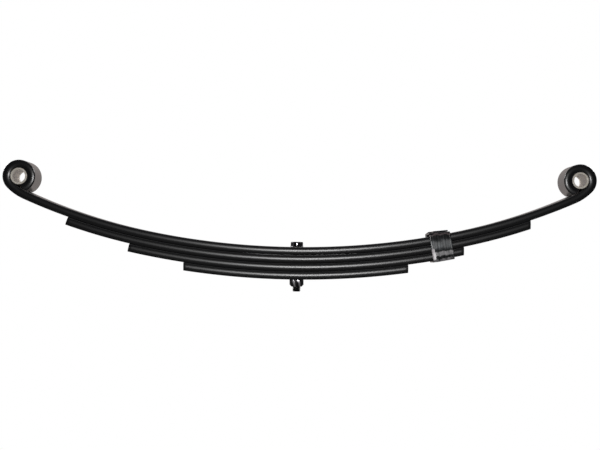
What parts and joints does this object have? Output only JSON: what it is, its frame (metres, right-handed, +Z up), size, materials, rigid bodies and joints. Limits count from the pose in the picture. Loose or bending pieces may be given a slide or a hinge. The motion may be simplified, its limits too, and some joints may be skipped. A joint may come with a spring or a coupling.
{
  "type": "leaf spring",
  "caption": "Double-eye trailer leaf spring: nested arched leaves held by a centre bolt, with a rebound clip round the upper leaves and a bush in each rolled eye.",
  "frame": {"origin": "on the centre bolt's axis, where it meets the main leaf's top surface, under the round locating head", "axes": "+X along the spring towards the half with the rebound clip, +Y across the leaves, +Z up, from the nut towards the locating head and the eyes"},
  "size_m": [0.6798, 0.0484, 0.1491],
  "materials": {
    "leaf_paint": "gloss",
    "clip_paint": "satin, scuffed",
    "bolt_steel": "satin",
    "bush_nylon": "satin"
  },
  "bodies": {
    "centre_pack": {"main_leaf": "leaf_paint", "second_leaf": "leaf_paint", "third_leaf": "leaf_paint", "fourth_leaf": "leaf_paint", "centre_bolt": "bolt_steel", "centre_nut": "bolt_steel"},
    "left_end": {"left_eye_bush": "bush_nylon"},
    "right_end": {"right_eye_bush": "bush_nylon"},
    "clip": {"rebound_clip": "clip_paint"}
  },
  "joints": [
    {"name": "left_flex", "type": "hinge", "parent": "centre_pack", "child": "left_end", "pos_m": [-0.08, 0, -0.0009], "axis": [0, -1, 0], "range_deg": [-2.4, 10], "stiffness_Nm_per_rad": 8500, "deforming": ["main_leaf", "second_leaf", "third_leaf", "fourth_leaf"]},
    {"name": "right_flex", "type": "hinge", "parent": "centre_pack", "child": "right_end", "pos_m": [0.08, 0, -0.0009], "axis": [0, 1, 0], "range_deg": [-2.4, 10], "stiffness_Nm_per_rad": 8500, "deforming": ["main_leaf", "second_leaf", "third_leaf", "fourth_leaf"]},
    {"name": "clip_follow", "type": "hinge", "parent": "centre_pack", "child": "clip", "pos_m": [0.113, 0, -0.001], "axis": [0, 1, 0], "range_deg": [-2.3, 9.5]}
  ],
  "couplings": [
    {"joint": "clip_follow", "follows": "right_flex", "ratio": 0.95}
  ]
}
